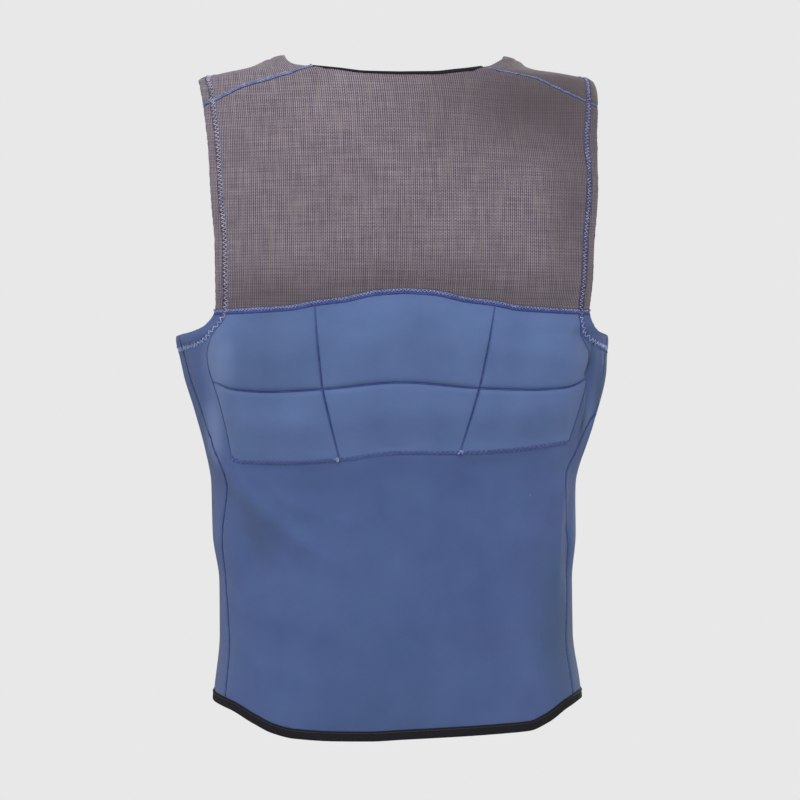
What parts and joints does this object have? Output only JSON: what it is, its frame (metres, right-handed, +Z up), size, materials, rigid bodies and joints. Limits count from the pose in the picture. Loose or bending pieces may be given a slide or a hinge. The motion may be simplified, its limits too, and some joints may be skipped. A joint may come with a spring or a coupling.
{
  "type": "impact vest",
  "caption": "Sleeveless neoprene impact vest with a grey ribbed yoke, a blue body, sewn foam pads across the back, bound neck and hem, and a front zip.",
  "frame": {"origin": "midway between the two shoulder straps, level with their undersides, where the vest rests on the shoulders", "axes": "+Z up along the wearer's spine, -Y out of the padded back, +X towards the wearer's right"},
  "size_m": [0.3782, 0.2498, 0.5888],
  "materials": {
    "yoke_knit": "ribbed grey knit, matt",
    "body_neoprene": "smooth blue jersey over neoprene, matt",
    "pad_cover": "smooth blue jersey over foam, matt",
    "binding_tape": "black woven tape, matt",
    "zip_plastic": "black moulded teeth on black tape"
  },
  "bodies": {
    "root": {"back_yoke": "yoke_knit", "front_yoke_left": "yoke_knit", "front_yoke_right": "yoke_knit", "back_panel": "body_neoprene", "front_panel_left": "body_neoprene", "front_panel_right": "body_neoprene", "back_pad_upper_left": "pad_cover", "back_pad_upper_centre": "pad_cover", "back_pad_upper_right": "pad_cover", "back_pad_lower_left": "pad_cover", "back_pad_lower_centre": "pad_cover", "back_pad_lower_right": "pad_cover", "neck_binding": "binding_tape", "hem_binding": "binding_tape", "front_zip": "zip_plastic"}
  },
  "joints": []
}
